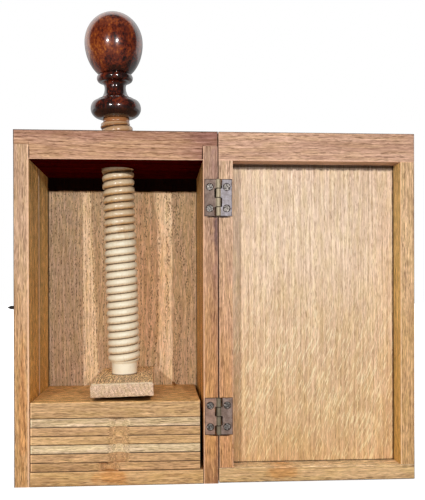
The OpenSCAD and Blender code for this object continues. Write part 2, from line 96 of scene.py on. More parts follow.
class Wire:
    """One output of a shader node. Arithmetic on it adds Math nodes to the same tree."""

    def __init__(self, tree, socket=None):
        self.tree = tree
        self.socket = socket

    def node(self, kind, settings=(), sockets=(), out=0):
        """Adds a node: first its settings, then the values or links of its sockets."""
        made = self.tree.nodes.new(kind)
        for key, value in dict(settings).items():
            if key == "stops":
                ramp = made.color_ramp.elements
                while len(ramp) < len(value):
                    ramp.new(1)
                for stop, (place, colour) in zip(ramp, value):
                    stop.position = place
                    stop.color = (*colour, 1)
            else:
                setattr(made, key, value)
        for key, value in dict(sockets).items():
            socket = made.inputs[key]
            if isinstance(value, Wire):
                self.tree.links.new(value.socket, socket)
            elif socket.type == "RGBA":
                socket.default_value = (*value, 1)
            else:
                socket.default_value = value
        return Wire(self.tree, made.outputs[out] if made.outputs else None)

    def other(self, out):
        """Another output of the same node."""
        return Wire(self.tree, self.socket.node.outputs[out])

    def math(self, operation, first, second=0.0):
        return self.node("ShaderNodeMath", {"operation": operation}, {0: first, 1: second})

    def __add__(self, other):
        return self.math("ADD", self, other)

    def __radd__(self, other):
        return self.math("ADD", other, self)

    def __sub__(self, other):
        return self.math("SUBTRACT", self, other)

    def __rsub__(self, other):
        return self.math("SUBTRACT", other, self)

    def __mul__(self, other):
        return self.math("MULTIPLY", self, other)

    def __rmul__(self, other):
        return self.math("MULTIPLY", other, self)

    def __truediv__(self, other):
        return self.math("DIVIDE", self, other)

    def __rtruediv__(self, other):
        return self.math("DIVIDE", other, self)


def least(a, b):
    return a.math("MINIMUM", a, b)


def most(a, b):
    return a.math("MAXIMUM", a, b)


def ramp_up(value, low, high):
    """0 below low and 1 above high, with a smooth rise between; it falls where low is the larger."""
    return value.node(
        "ShaderNodeMapRange",
        {"interpolation_type": "SMOOTHSTEP"},
        {"Value": value, "From Min": low, "From Max": high},
    )


def blend(factor, first, second, mode="MIX"):
    """Mixes two colours; factor 0 keeps the first."""
    tree_of = next(x for x in (factor, first, second) if isinstance(x, Wire))
    return tree_of.node(
        "ShaderNodeMix",
        {"data_type": "RGBA", "blend_type": mode},
        {0: factor, 6: first, 7: second},
        out=2,
    )


def vector(operation, first, second):
    return first.node("ShaderNodeVectorMath", {"operation": operation}, {0: first, 1: second})


def cloud(at, size, detail=2.0, roughness=0.5, out=0):
    """Noise whose cells have the given sizes in mm."""
    return at.node(
        "ShaderNodeTexNoise",
        {},
        {"Vector": vector("DIVIDE", at, size), "Scale": 1.0, "Detail": detail, "Roughness": roughness},
        out=out,
    )


def position_mm(start):
    """The place on the piece in mm, in the frame that moves with it."""
    place = start.node("ShaderNodeTexCoord", out="Object")
    return vector("MULTIPLY", place, (1 / MM,) * 3)


def parts(at):
    x = at.node("ShaderNodeSeparateXYZ", {}, {0: at})
    return x, x.other(1), x.other(2)


def new_finish(name):
    material = bpy.data.materials.new(name)
    material.use_nodes = True
    material.node_tree.nodes.clear()
    return material, Wire(material.node_tree)


def surface(start, colour, roughness, height, relief_mm, fixed=()):
    """Ends a finish: one Principled shader with its colour, gloss and relief."""
    bump = start.node("ShaderNodeBump", {}, {"Strength": 1.0, "Distance": relief_mm * MM, "Height": height})
    shader = start.node(
        "ShaderNodeBsdfPrincipled",
        {},
        {"Base Color": colour, "Roughness": roughness, "Normal": bump, **dict(fixed)},
    )
    start.node("ShaderNodeOutputMaterial", {}, {"Surface": shader})


print("shader arithmetic ready")

# %% [markdown]
# ## Light, floor and background
# Two lamps stand in front of the press, left and right and above it, as on a copying table. They
# are small, so shadows are crisp, and the screw's two shadows leave bright strips on the back panel.
# The world adds a soft fill from above. Rays from the camera see plain white, and the polish
# mirrors a dim room in front, pale walls at the sides and a greyer wall behind.

# %% Hang the lamps
AIM = Vector((50, 0, 95)) * MM
LAMPS = {"left_lamp": (-267, -734, 270), "right_lamp": (208, -734, 270)}
LAMP_WATTS = 2.22
LAMP_MM = 8

for lamp_name, place in LAMPS.items():
    lamp = bpy.data.lights.new(lamp_name, "AREA")
    lamp.shape = "DISK"
    lamp.size = LAMP_MM * MM
    lamp.energy = LAMP_WATTS
    holder = bpy.data.objects.new(lamp_name, lamp)
    holder.location = Vector(place) * MM
    holder.rotation_mode = "QUATERNION"
    holder.rotation_quaternion = (AIM - holder.location).to_track_quat("-Z", "Y")
    scene.collection.objects.link(holder)
print("lamps:", ", ".join(LAMPS))

# %% Fill the room with light
FILL = 1.1
FILL_FROM = (0.5, 0.95)
FRONT_OF_ROOM, ROOM_SIDES, ROOM_BACK = 0.03, 0.5, 0.14
BACK_WALL, SIDE_WALLS = (0.6, 1.0), (0.17, 0.3)
ROOM_WHITE = 2.0
world = bpy.data.worlds.new("white_room")
world.use_nodes = True
world.node_tree.nodes.clear()
room = Wire(world.node_tree)
ray = room.node("ShaderNodeLightPath", out="Is Camera Ray")
mirrored = most(ray.other("Is Glossy Ray"), ray.other("Is Transmission Ray"))
_, to_back, to_top = parts(room.node("ShaderNodeTexCoord", out="Generated"))
walls = ROOM_SIDES - (ROOM_SIDES - ROOM_BACK) * ramp_up(to_back, *BACK_WALL)
above = ramp_up(to_top, *FILL_FROM)
seen = most(ray / ROOM_WHITE, mirrored * (FRONT_OF_ROOM + walls * ramp_up(to_back, *SIDE_WALLS)))
seen = most(seen, (1 - mirrored) * FILL / ROOM_WHITE * above)
dim = room.node("ShaderNodeBackground", {}, {"Color": (0, 0, 0), "Strength": 0.0})
white = room.node("ShaderNodeBackground", {}, {"Color": (1, 1, 1), "Strength": ROOM_WHITE})
mixed = room.node("ShaderNodeMixShader", {}, {0: seen, 1: dim, 2: white})
room.node("ShaderNodeOutputWorld", {}, {"Surface": mixed})
scene.world = world
print("world fill:", FILL)

# %% Lay the floor
FLOOR_REACH = 4.0
FLOOR_FADE = (4, 70)
FLOOR_MIRRORED = 0.25
FLOOR_BEHIND = (0.0, 250.0)
FLOOR_GREY, FLOOR_DARK = (0.56, 0.56, 0.555), (0.1, 0.1, 0.1)
GLOW_NEAR, GLOW_MORE_FAR = 0.76, 0.4
PRESS_MIDDLE_X, PRESS_HALF_W, PRESS_HALF_D = 55.0, 112.0, 38.0


def flat_sheet(name, reach):
    mesh = bpy.data.meshes.new(name)
    corners = [(-reach, -reach, 0), (reach, -reach, 0), (reach, reach, 0), (-reach, reach, 0)]
    mesh.from_pydata(corners, [], [(0, 1, 2, 3)])
    made = bpy.data.objects.new(name, mesh)
    scene.collection.objects.link(made)
    return made


floor = flat_sheet("floor", FLOOR_REACH)
floor_finish, start = new_finish("pale_floor")
x, y, _ = parts(position_mm(start))
aside = most(start.math("ABSOLUTE", x - PRESS_MIDDLE_X) - PRESS_HALF_W, 0.0)
beyond = most(start.math("ABSOLUTE", y) - PRESS_HALF_D, 0.0)
far = ramp_up(start.math("SQRT", aside * aside + beyond * beyond), *FLOOR_FADE)
ray = start.node("ShaderNodeLightPath", out="Is Camera Ray")
mirrored = most(ray.other("Is Glossy Ray"), ray.other("Is Transmission Ray"))
seen = most(ray, mirrored * (FRONT_OF_ROOM + FLOOR_MIRRORED * ramp_up(y, *FLOOR_BEHIND)))
paper = start.node(
    "ShaderNodeBsdfPrincipled",
    {},
    {
        "Base Color": blend(mirrored, FLOOR_GREY, FLOOR_DARK),
        "Roughness": 0.9,
        "Specular IOR Level": 0.0,
        "Emission Color": seen * (GLOW_NEAR + GLOW_MORE_FAR * far),
        "Emission Strength": 1.0,
    },
)
start.node("ShaderNodeOutputMaterial", {}, {"Surface": paper})
floor.data.materials.append(floor_finish)
print("floor laid")

# %% [markdown]
# ## Eased arrises
# No board on an old press has razor edges: plane, sandpaper and hands take the arris off. The CAD
# boards are kept as they are, and modifiers ease them: weld the mesh, join its flat triangles,
# mark the long sharp edges, and bevel only those, so small holes and threads stay crisp.

# %% Build the node group that marks the arrises
ARRIS_ANGLE = math.radians(40)
ARRIS_LENGTH = 2.2
LONG_ARRIS = 30.0
WELD_MM, FLAT_ANGLE, EASE_SEGMENTS = 0.002, math.radians(0.5), 3
CASE_EASE, BOARD_EASE = 0.18, 0.25


def arris_marker(shortest):
    group = bpy.data.node_groups.new("mark_arrises", "GeometryNodeTree")
    for way in ("INPUT", "OUTPUT"):
        group.interface.new_socket("Geometry", in_out=way, socket_type="NodeSocketGeometry")

    def add(kind, settings=(), sockets=()):
        made = group.nodes.new(kind)
        for key, value in dict(settings).items():
            setattr(made, key, value)
        for key, value in dict(sockets).items():
            if isinstance(value, bpy.types.NodeSocket):
                group.links.new(value, made.inputs[key])
            else:
                made.inputs[key].default_value = value
        return made

    came = add("NodeGroupInput").outputs[0]
    angle = add("GeometryNodeInputMeshEdgeAngle").outputs["Unsigned Angle"]
    sharp = add("FunctionNodeCompare", {"operation": "GREATER_THAN"}, {0: angle, 1: ARRIS_ANGLE}).outputs[0]
    ends = add("GeometryNodeInputMeshEdgeVertices")
    span = add(
        "ShaderNodeVectorMath",
        {"operation": "DISTANCE"},
        {0: ends.outputs["Position 1"], 1: ends.outputs["Position 2"]},
    ).outputs["Value"]
    long = add("FunctionNodeCompare", {"operation": "GREATER_THAN"}, {0: span, 1: shortest * MM}).outputs[0]
    arris = add("FunctionNodeBooleanMath", {"operation": "AND"}, {0: sharp, 1: long}).outputs[0]
    kept = add("FunctionNodeBooleanMath", {"operation": "NIMPLY"}, {0: sharp, 1: long}).outputs[0]
    plain = add("GeometryNodeRemoveAttribute", {}, {"Geometry": came, "Name": "custom_normal"}).outputs[0]
    smooth = add(
        "GeometryNodeSetShadeSmooth",
        {"domain": "FACE"},
        {"Geometry": plain, "Shade Smooth": True},
    ).outputs[0]
    crisp = add(
        "GeometryNodeSetShadeSmooth",
        {"domain": "EDGE"},
        {"Geometry": smooth, "Selection": kept, "Shade Smooth": False},
    ).outputs[0]
    marked = add(
        "GeometryNodeStoreNamedAttribute",
        {"domain": "EDGE", "data_type": "FLOAT"},
        {"Geometry": crisp, "Name": "bevel_weight_edge", "Value": arris},
    ).outputs[0]
    add("NodeGroupOutput", {}, {0: marked})
    return group


MARKERS = {shortest: arris_marker(shortest) for shortest in (ARRIS_LENGTH, LONG_ARRIS)}


def ease(piece, width_mm, shortest=ARRIS_LENGTH):
    """Rounds the arrises of a piece that are longer than the shortest, by modifiers."""
    weld = piece.modifiers.new("weld", "WELD")
    weld.merge_threshold = WELD_MM * MM
    join = piece.modifiers.new("join_flats", "DECIMATE")
    join.decimate_type = "DISSOLVE"
    join.angle_limit = FLAT_ANGLE
    mark = piece.modifiers.new("mark_arrises", "NODES")
    mark.node_group = MARKERS[shortest]
    bevel = piece.modifiers.new("ease", "BEVEL")
    bevel.limit_method = "WEIGHT"
    bevel.width = width_mm * MM
    bevel.segments = EASE_SEGMENTS
    bevel.harden_normals = True


print("arris markers:", len(MARKERS))

# %% [markdown]
# ## Oak
# Oak is read by its open pores: dark dashes a few millimetres long that crowd together in the
# spring growth of each year. Between them run fine fibres, and a quarter sawn board also shows
# pale flecks where the rays come to the surface. All of it is drawn here as solid noise that is
# long along the grain and fine across it, so the ends of a board show end grain by themselves.
# Fine specks that darken as much as they lighten keep the surface from looking sprayed on.
# Each board has its own place in the noise, its own tint, grimy joints and rubbed arrises.

# %% Draw oak
PLANES = {"x-": (0, 0), "x+": (0, 1), "y-": (1, 0), "y+": (1, 1), "z-": (2, 0), "z+": (2, 1)}
GRIME_AND_SHADE = (0.035, 0.016, 0.009)
SPECK = (0.24, 0.26, 0.29)
INSIDE_SPECKLE = 1.7
UPRIGHT_SPECKLE = 1.0
SEED_STEP = (37.7, 23.1, 51.3)
DRIFT_MM, FIBRE_MM, DASH_MM, STREAK_MM = (95, 30), (40, 0.55), (12, 0.6), (150, 2.4)
PATCH_MM, HUE_MM, SPECK_MM, COARSE_MM = (55, 20), (17, 3.2), (4.5, 0.5), (150, 9)
SMUDGE_MM, CHIP_MM = (7, 7, 7), (2.6, 2.6, 2.6)
RAY_MM, RAY_SLANT, RAY_HEIGHTS = (0.6, 30, 8.0), math.radians(-20), (125, 60)
INNER_SKIN = (0.45, 0.15)
STAIN_SOLID, STAIN_RAG, STAIN_RAG_MOST = 0.3, 2.3, 9.0
BLOT_SOLID, BLOT_RAG = 0.4, 2.2
RUBBED_MM = (0.75, 0.1)
LINE_SOLID, LINE_RAG = 0.4, 0.9
OAK_RELIEF_MM = 0.16


def along(grain, length, width):
    """Cell sizes that are long on the grain's axis."""
    return tuple(length if axis == grain else width for axis in range(3))


def length_of(at):
    return at.node("ShaderNodeVectorMath", {"operation": "LENGTH"}, {0: at}, out=1)


def longest_of(at):
    x, y, z = (at.math("ABSOLUTE", part) for part in parts(at))
    return most(x, most(y, z))


def scaled(colour, times):
    return tuple(min(1.0, times * c) for c in colour)


def speckled(colour, speck, amount):
    """Darkens a colour where speck is 1 and lightens it as much where speck is 0."""
    light, dark = (tuple(1 + way * amount * c for c in SPECK) for way in (1, -1))
    return vector("MULTIPLY", colour, blend(speck, light, dark))


def from_sides(place, box):
    """A function that gives the depth below a side of the box, such as x- or y+5 for 5 mm inside y+."""
    xyz = parts(place)
    depths = {
        name: xyz[axis] - box[0][axis] / MM if end == 0 else box[1][axis] / MM - xyz[axis]
        for name, (axis, end) in PLANES.items()
    }

    def depth(side):
        below = depths[side[:2]]
        return place.math("ABSOLUTE", below - float(side[2:])) if side[2:] else below

    return depth


def middle_of(a, b, c):
    return most(least(a, b), least(most(a, b), c))


def oak(
    name,
    box,
    grain,
    seed,
    pale,
    deep,
    pore=(0.16, 0.075, 0.035),
    pore_mm=(6.0, 0.6),
    pore_share=0.55,
    warm=None,
    warm_z=(150, 40),
    sway=5.0,
    ring_mm=2.1,
    ring=0.3,
    pith=(37.0, 19.0),
    fleck=0.0,
    speckle=0.8,
    sheen=0.15,
    rubbed=0.35,
    grime_and_shade=(),
    bright=(),
    stain=(),
    blots=(),
    inside=(),
    gloss=0.5,
):
    """Oak for one board. Box is the board's corners, grain the axis its fibres run along.

    Grime-and-shade lines and bright lines run where two sides meet, with a width in mm: dark
    lines are dirt in joints and painted shade in corners that the light misses. Stain tints from a
    side inwards, and inside tints one face: painted light on faces the lamps light too little, and
    painted shade on faces in gaps and under the top. Blots are rounded, or square where a fifth
    value says how much of each is solid.
    """
    material, start = new_finish(name)
    place = position_mm(start)
    origin = [seed * k for k in SEED_STEP]
    wood = vector("ADD", place, tuple(origin))
    drift = cloud(wood, along(grain, *DRIFT_MM), 1.5, out=1)
    wood = vector("ADD", wood, vector("MULTIPLY", drift, (sway,) * 3))

    fibre = cloud(wood, along(grain, *FIBRE_MM), 3.0, 0.6)
    dash = cloud(wood, along(grain, *DASH_MM), 2.0, 0.6)
    streak = cloud(wood, along(grain, *STREAK_MM), 3.0, 0.55)
    patch = cloud(wood, along(grain, *PATCH_MM), 2.0)
    hue = cloud(wood, along(grain, *HUE_MM), 2.0)
    speck = ramp_up(cloud(wood, along(grain, *SPECK_MM), 2.0, 0.7), 0.64, 0.36)
    for axis, off in zip([axis for axis in range(3) if axis != grain], pith):
        origin[axis] += off
    radial = vector("MULTIPLY", vector("SUBTRACT", wood, tuple(origin)), along(grain, 0.0, 1.0))
    year = length_of(radial) / ring_mm + streak * 1.2
    spring = ramp_up(start.math("PINGPONG", year, 0.5), 0.2, 0.46)

    cell = start.node(
        "ShaderNodeTexVoronoi",
        {},
        {"Vector": vector("DIVIDE", wood, along(grain, *pore_mm)), "Scale": 1.0},
    )
    pores = ramp_up(cell - 0.2 * spring - 0.3 * streak, 0.06, -0.07)

    tone = ramp_up(fibre * 0.42 + dash * 0.3 + streak * 0.16 + patch * 0.12, 0.41, 0.60)
    colour = blend(tone, deep, pale)
    colour = blend(spring * ring, colour, scaled(deep, 0.9))
    colour = blend(ramp_up(hue, 0.38, 0.66), colour, (1.0, 1.02, 0.92), "MULTIPLY")
    colour = blend(ramp_up(fibre * 0.5 + dash * 0.5, 0.57, 0.68) * 0.55, colour, scaled(pale, 1.22))
    if fleck:
        slant = start.node(
            "ShaderNodeVectorRotate",
            {"rotation_type": "Y_AXIS"},
            {"Vector": wood, "Angle": RAY_SLANT},
        )
        ray_cell = cloud(slant, RAY_MM, 1.0, 0.5)
        low = ramp_up(parts(place)[2], *RAY_HEIGHTS)
        rays = ramp_up(ray_cell + 0.2 * patch, 0.67, 0.74) * low * fleck
        colour = blend(rays, colour, scaled(pale, 1.3))
        pores = pores * (1 - rays)
    colour = blend(pores * pore_share, colour, pore)
    colour = speckled(colour, speck, speckle)

    depth = from_sides(place, box)
    if warm:
        height = parts(place)[2] + (patch - 0.5) * 60
        colour = blend(ramp_up(height, *warm_z), colour, warm, "MULTIPLY")
    coarse = cloud(wood, along(grain, *COARSE_MM), 4.0, 0.65)
    for side, tint, shade, *specks in inside:
        figured = blend(ramp_up(coarse, 0.38, 0.62), tuple(shade * t for t in tint), tint)
        figured = speckled(figured, speck, specks[0] if specks else INSIDE_SPECKLE)
        colour = blend(ramp_up(depth(side), *INNER_SKIN), colour, figured, "MULTIPLY")
    smudge = cloud(place, SMUDGE_MM, 3.0, 0.6)
    for side, reach, tint, strength in stain:
        ragged = (smudge - 0.5) * min(reach * STAIN_RAG * (1 - STAIN_SOLID), STAIN_RAG_MOST)
        stained = ramp_up(depth(side) + ragged, reach, reach * STAIN_SOLID) * strength
        colour = blend(stained, colour, tint, "MULTIPLY")
    for centre, reach, tint, strength, *full in blots:
        off = vector("DIVIDE", vector("SUBTRACT", place, centre), reach)
        away = longest_of(off) if full else length_of(off)
        full = full[0] if full else BLOT_SOLID
        ragged = (smudge - 0.5) * BLOT_RAG * (1 - full)
        colour = blend(ramp_up(away + ragged, 1.0, full) * strength, colour, tint, "MULTIPLY")
    edge = middle_of(
        least(depth("x-"), depth("x+")), least(depth("y-"), depth("y+")), least(depth("z-"), depth("z+"))
    )
    chip = cloud(place, CHIP_MM, 3.0, 0.65)
    worn = ramp_up(edge + (chip - 0.5) * 1.6, *RUBBED_MM) * rubbed
    colour = blend(worn, colour, scaled(pale, 1.2))
    for first, second, wide, *thin in bright:
        below = depth(first) * (wide / thin[0]) if thin else depth(first)
        line = most(below, depth(second)) + (chip - 0.5) * wide * LINE_RAG
        colour = blend(ramp_up(line, wide, wide * LINE_SOLID) * 0.75, colour, scaled(pale, 1.25))
    # Dark lines: dirt in joints, and painted shade in corners the light misses, such as under the door's top
    # rail.
    for first, second, wide in grime_and_shade:
        line = most(depth(first), depth(second)) + (chip - 0.5) * wide * LINE_RAG
        colour = blend(ramp_up(line, wide, wide * LINE_SOLID) * 0.85, colour, GRIME_AND_SHADE)

    roughness = gloss + 0.18 * pores - 0.08 * tone + 0.1 * (smudge - 0.5)
    height = fibre * 0.12 + dash * 0.1 - pores * 0.75 - worn * 0.5 * chip
    surface(start, colour, roughness, height, OAK_RELIEF_MM, {"IOR": 1.45, "Specular IOR Level": sheen})
    return material


def dress(node, finish):
    """Puts a finish on a CAD node, on its object's own slot."""
    slot = nodes[node].material_slots[0]
    slot.link = "OBJECT"
    slot.material = finish


print("oak ready")

# %% [markdown]
# ## The case
# The frame of the case is pinkish tan near the top, and deeper and golden towards the base. A
# purple grey stain runs along the hinge side and the joints are drawn by dark lines of old dirt.
# The inner faces are tinted a lighter, stronger brown, painted light for the weak grazing light
# inside the case. Painted shade darkens the back panel where the left wall blocks a lamp, the
# lower inner wall beside the boards and the wood round the hinges. The corner under the top is
# painted almost black, as painted shade, because light that bounces in the case leaves it greyer
# than the picture.

# %% Finish the case
X, Y, Z = 0, 1, 2
CASE_SEED, DOOR_SEED, BOARD_SEED, FOOT_SEED = 1, 11, 21, 31
FRONT_Y, INNER_X, HINGE_X = -37.4, 47.6, 56
HINGE_BOARDS = ("right_side_front", "door_hinge_stile")
WARM_LOW = (1.06, 0.94, 0.67)
BRUISE = (0.70, 0.62, 0.72)
RUST = (1.0, 0.74, 0.50)
JOINT = (0.12, 0.08, 0.07)
# Near black, used for painted shade.
PAINTED_SHADE_BLACK = (0.02, 0.006, 0.004)
# Inner faces are tinted a lighter, stronger brown: painted light for the weak grazing light inside the case.
INNER = (1.36, 1.28, 0.76)
CORNERS = [((x, FRONT_Y, 183), (0.75, 2.5, 5.6), JOINT, 1.0) for x in (-INNER_X, INNER_X)]
LEAF_MIDDLES, LEAF_HALF = (158.45, 37.35), 10.25
BLACK = (0.06, 0.035, 0.03)
# Painted shade: dark wood behind the knuckles, and a painted shadow line under each leaf.
PAINTED_HINGE_SHADE = [((HINGE_X, -35.4, z), (3.4, 2.6, 12.5), BLACK, 1.0) for z in LEAF_MIDDLES]
PAINTED_HINGE_SHADE += [
    ((HINGE_X, FRONT_Y, z - LEAF_HALF - 0.35), (8.2, 1.0, 0.6), BLACK, 1.0, 0.5) for z in LEAF_MIDDLES
]
SLATE = (0.34, 0.33, 0.42)
PAINTED_SHADE_TINT = (0.82, 0.84, 0.93)
RUDDY = (1.0, 0.88, 0.82)
# Painted shadow: the top board's shadow on the back panel, painted near black.
DARK_CORNER = ((0, 32.4, 187.1), (80, 1.2, 16.8), PAINTED_SHADE_BLACK, 1.0, 0.96)
CASE = {
    "top_board": dict(
        grain=X, pale=(0.64, 0.38, 0.25), deep=(0.39, 0.205, 0.125),
        grime_and_shade=[("z+", "y-", 0.6), ("x-", "y-", 0.6), ("x+", "y-", 0.6)], bright=[("z-", "y-", 0.7)],
        stain=[("x+", 24, BRUISE, 0.9), ("z+", 7.0, BRUISE, 0.6)], blots=CORNERS,
        # The underside of the top is tinted near black, as painted shade.
        inside=[("z-", (0.13, 0.005, 0.003), 0.6)], sheen=0.0,
    ),
    "bottom_board": dict(
        grain=X, pale=(0.82, 0.515, 0.255), deep=(0.52, 0.29, 0.125),
        grime_and_shade=[("x-", "y-", 0.5), ("x+", "y-", 0.5), ("z-", "y-", 0.6)],
        blots=[((-3, -37, 5), (13, 40, 6), RUST, 0.8)],
    ),
    "left_side_front": dict(
        grain=Z, pale=(0.73, 0.465, 0.30), deep=(0.44, 0.26, 0.155), warm=WARM_LOW, speckle=UPRIGHT_SPECKLE,
        grime_and_shade=[("x-", "y-", 0.6), ("y+", "x+", 2.6), ("z+", "y-", 0.3)], bright=[("x+", "y-", 1.3)],
        blots=CORNERS + [((-51, -37, 45), (2.5, 30, 50), RUST, 0.5)], inside=[("x+", INNER, 0.7)],
    ),
    "left_side_rear": dict(
        grain=Z, pale=(0.73, 0.52, 0.36), deep=(0.51, 0.32, 0.185), warm=WARM_LOW,
        # The bright line at the front edge of the inner face is a painted highlight where the stave's step
        # catches the light.
        grime_and_shade=[("y+5.0", "x+", 3.2)], bright=[("y-", "x+", 3.0)], inside=[("x+", INNER, 0.7)],
    ),
    "right_side_front": dict(
        grain=Z, pale=(0.64, 0.38, 0.25), deep=(0.38, 0.21, 0.13), warm=(1.15, 0.96, 0.60),
        speckle=UPRIGHT_SPECKLE, grime_and_shade=[("x+", "y-", 0.3), ("z+", "y-", 0.3)],
        stain=[("x+", 4.2, BRUISE, 0.7)], bright=[("x-", "y-", 0.8)],
        blots=CORNERS + PAINTED_HINGE_SHADE + [
            # Painted shade: the near-black blot on the lower inner face beside the boards, and the blots at
            # the top and foot of the front face.
            ((55.5, -37, 139), (2.8, 30, 13), SLATE, 0.9), ((INNER_X, -8, 16), (3, 26, 34), PAINTED_SHADE_BLACK, 1.0),
            ((52, -37, 168), (9, 30, 34), PAINTED_SHADE_TINT, 0.9), ((52, -37, 0), (9, 30, 26), PAINTED_SHADE_TINT, 0.9),
        ],
        inside=[("x-", INNER, 0.7)],
    ),
    "right_side_rear": dict(
        grain=Z, pale=(0.66, 0.42, 0.25), deep=(0.40, 0.215, 0.115), warm=WARM_LOW,
        grime_and_shade=[("y-", "x-", 2.0), ("y-", "x+", 0.5)], inside=[("x-", INNER, 0.7)],
    ),
    "back_panel": dict(
        grain=Z, pale=(0.96, 0.69, 0.45), deep=(0.71, 0.47, 0.275),
        pore=(0.16, 0.07, 0.025), pore_mm=(2.0, 0.6), pore_share=0.88,
        speckle=0.9, sheen=0.05, sway=8.0, grime_and_shade=[("x-4.0", "y-", 0.6), ("x+4.0", "y-", 0.6)],
        blots=[
            ((14, 32, 115), (20, 30, 75), RUDDY, 0.8),
            # Painted shade over the left of the back panel, where the left wall blocks a lamp.
            ((-40, 32, 90), (22, 30, 130), PAINTED_SHADE_TINT, 0.9),
            DARK_CORNER,
        ],
    ),
}
for number, (node, look) in enumerate(CASE.items()):
    dress(node, oak(f"oak_{node}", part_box(node), seed=number + CASE_SEED, **look))
    ease(nodes[node], CASE_EASE, LONG_ARRIS if node in HINGE_BOARDS else ARRIS_LENGTH)
print("case boards finished:", len(CASE))

# %% [markdown]
# ## The door
# The frame of the door matches the case. Its panel is a quarter sawn board, paler and smoother,
# with ray flecks that slant across the grain near the foot.

# %% Finish the door
DOOR = {
    "door_top_rail": dict(
        grain=X, pale=(0.70, 0.43, 0.295), deep=(0.45, 0.25, 0.165),
        grime_and_shade=[("z+", "y-", 0.5), ("x+", "y-", 0.4)], bright=[("z-", "y-", 0.7)],
    ),
    "door_bottom_rail": dict(
        grain=X, pale=(0.84, 0.56, 0.30), deep=(0.54, 0.325, 0.155),
        # The top face is tinted paler, painted light for the light it catches from above.
        grime_and_shade=[("z-", "y-", 0.6), ("x+", "y-", 0.4)], inside=[("z+", (1.19, 1.35, 1.6), 1.0)],
        blots=[((92, -37, 6), (11, 30, 5), RUST, 0.7)],
    ),
    "door_hinge_stile": dict(
        grain=Z, pale=(0.77, 0.50, 0.35), deep=(0.485, 0.30, 0.195), warm=(0.97, 0.75, 0.51),
        # The face towards the case is tinted dark, painted shade in the narrow gap.
        speckle=UPRIGHT_SPECKLE, grime_and_shade=[("z-", "y-", 0.3)], inside=[("x-", (0.35, 0.25, 0.18), 0.8)],
        blots=PAINTED_HINGE_SHADE,
    ),
    "door_closing_stile": dict(
        grain=Z, pale=(0.79, 0.515, 0.305), deep=(0.50, 0.305, 0.165), warm=(0.96, 0.88, 0.72),
        speckle=UPRIGHT_SPECKLE, grime_and_shade=[("x+", "y-", 0.5), ("z-", "y-", 0.3)], bright=[("x-", "y-", 0.7)],
        # The inner face is tinted lighter, painted light for the grazing light on it.
        inside=[("x-", (1.26, 1.33, 0.92), 1.0, 0.3)],
    ),
    "door_panel": dict(
        grain=Z, pale=(0.93, 0.715, 0.545), deep=(0.67, 0.485, 0.345),
        pore=(0.46, 0.26, 0.14), pore_mm=(5.0, 0.5), pore_share=0.4, speckle=0.55,
        # The warm tint, darker and more golden towards the foot, is painted shade where the light falls off.
        warm=(0.88, 0.74, 0.53), warm_z=(175, 0), fleck=0.72, sway=3.0, ring_mm=2.6, rubbed=0.0,
        # The wide dark line under the top rail is the rail's painted shadow.
        grime_and_shade=[("x+3.0", "y-", 1.0), ("x-3.0", "y-", 0.4), ("z-3.0", "y-", 0.8), ("z+4.0", "y-", 2.7)],
    ),
}
for number, (node, look) in enumerate(DOOR.items()):
    dress(node, oak(f"oak_{node}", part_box(node), seed=number + DOOR_SEED, **look))
    ease(nodes[node], CASE_EASE, LONG_ARRIS if node in HINGE_BOARDS else ARRIS_LENGTH)
print("door boards finished:", len(DOOR))

# %% [markdown]
# ## The loose boards
# Each divider was cut from a different piece, so their tints differ: cream, tan and one that is
# almost red. Fingers pull them out by the hollow in the middle of the front edge. The pressing
# board's top is tinted lighter as painted light, and a dark patch painted on it under the foot
# block is a painted shadow that stands in for the shadow line there.

# %% Finish the loose boards
BOARDS = {
    "pressing_board": ((0.73, 0.455, 0.235), (0.47, 0.275, 0.13)),
    "divider_board_6": ((0.90, 0.65, 0.42), (0.59, 0.41, 0.24)),
    "divider_board_5": ((0.81, 0.495, 0.255), (0.51, 0.295, 0.145)),
    "divider_board_4": ((0.80, 0.505, 0.25), (0.53, 0.31, 0.145)),
    "divider_board_3": ((0.90, 0.675, 0.43), (0.64, 0.455, 0.28)),
    "divider_board_2": ((0.77, 0.465, 0.235), (0.48, 0.275, 0.135)),
    "divider_board_1": ((0.78, 0.465, 0.235), (0.47, 0.265, 0.125)),
}
FINGER_PALE = (1.05, 1.06, 1.06)
FINGER_X, FINGER_X_LOWEST = 0.7, -4.8
# Painted light: the pressing board's top face is tinted lighter.
PAINTED_LIGHT_TOP = ("z+", (1.34, 1.28, 1.0), 0.95)
# Painted shadow under the foot block.
PAINTED_FOOT_SHADOW = ((2.5, -2, 46), (17.0, 33.5, 2.5), (0.14, 0.10, 0.075), 0.95, 0.88)
for number, (node, (pale, deep)) in enumerate(BOARDS.items()):
    if node == "pressing_board":
        marks = dict(inside=[PAINTED_LIGHT_TOP], blots=[PAINTED_FOOT_SHADOW])
    else:
        finger_x = FINGER_X_LOWEST if node == "divider_board_1" else FINGER_X
        marks = dict(blots=[((finger_x, -37, 20), (7.5, 9, 60), FINGER_PALE, 0.6)])
    look = oak(
        f"oak_{node}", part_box(node), X, number + BOARD_SEED, pale, deep,
        grime_and_shade=[("x+", "y-", 0.3), ("z-", "y-", 0.75)], bright=[("x-", "y-", 1.1)],
        pore_share=0.45, speckle=0.9, **marks,
    )
    dress(node, look)
    ease(nodes[node], BOARD_EASE)
print("loose boards finished:", len(BOARDS))

# %% [markdown]
# ## The screw's own frame
# The tapped hole was bored a little out of true, so the screw leans to the left and to the front.
# Pieces on the screw are built upright, with Z along the axis from the foot block's underside,
# and one matrix leans them into place.

